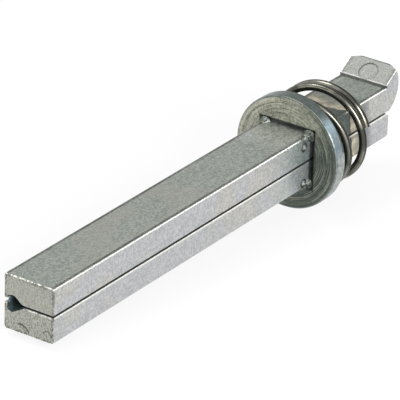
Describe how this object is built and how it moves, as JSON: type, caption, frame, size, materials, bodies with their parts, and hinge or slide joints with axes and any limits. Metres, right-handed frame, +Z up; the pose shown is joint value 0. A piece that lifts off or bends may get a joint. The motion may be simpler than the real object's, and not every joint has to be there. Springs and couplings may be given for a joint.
{
  "type": "door handle spindle",
  "caption": "Square steel door handle spindle, split lengthwise, whose hooked nose catches behind the lock; a spring and a thrust washer, stopped by punched burrs, pull the hook tight.",
  "frame": {"origin": "middle of the square bar's end face at the handle's end", "axes": "+X along the bar, from the handle's end to the hooked nose; +Z up, from the lower half to the upper half with the hook; +Y across, towards the groove's open side"},
  "size_m": [0.094, 0.019, 0.019],
  "materials": {
    "bar_steel": "zinc-plated drawn steel, mottled",
    "washer_steel": "zinc-plated turned steel",
    "spring_wire": "dark drawn spring wire, polished"
  },
  "bodies": {
    "upper_bar": {"upper_half": "bar_steel"},
    "lower_bar": {"lower_half": "bar_steel"},
    "washer_and_spring": {"washer": "washer_steel", "spring": "spring_wire"}
  },
  "joints": [
    {"name": "lower_half_slide", "type": "slide", "parent": "upper_bar", "child": "lower_bar", "axis": [-1, 0, 0], "range_m": [0, 0.02]},
    {"name": "washer_slide", "type": "slide", "parent": "upper_bar", "child": "washer_and_spring", "axis": [1, 0, 0], "range_m": [0, 0.009]}
  ]
}
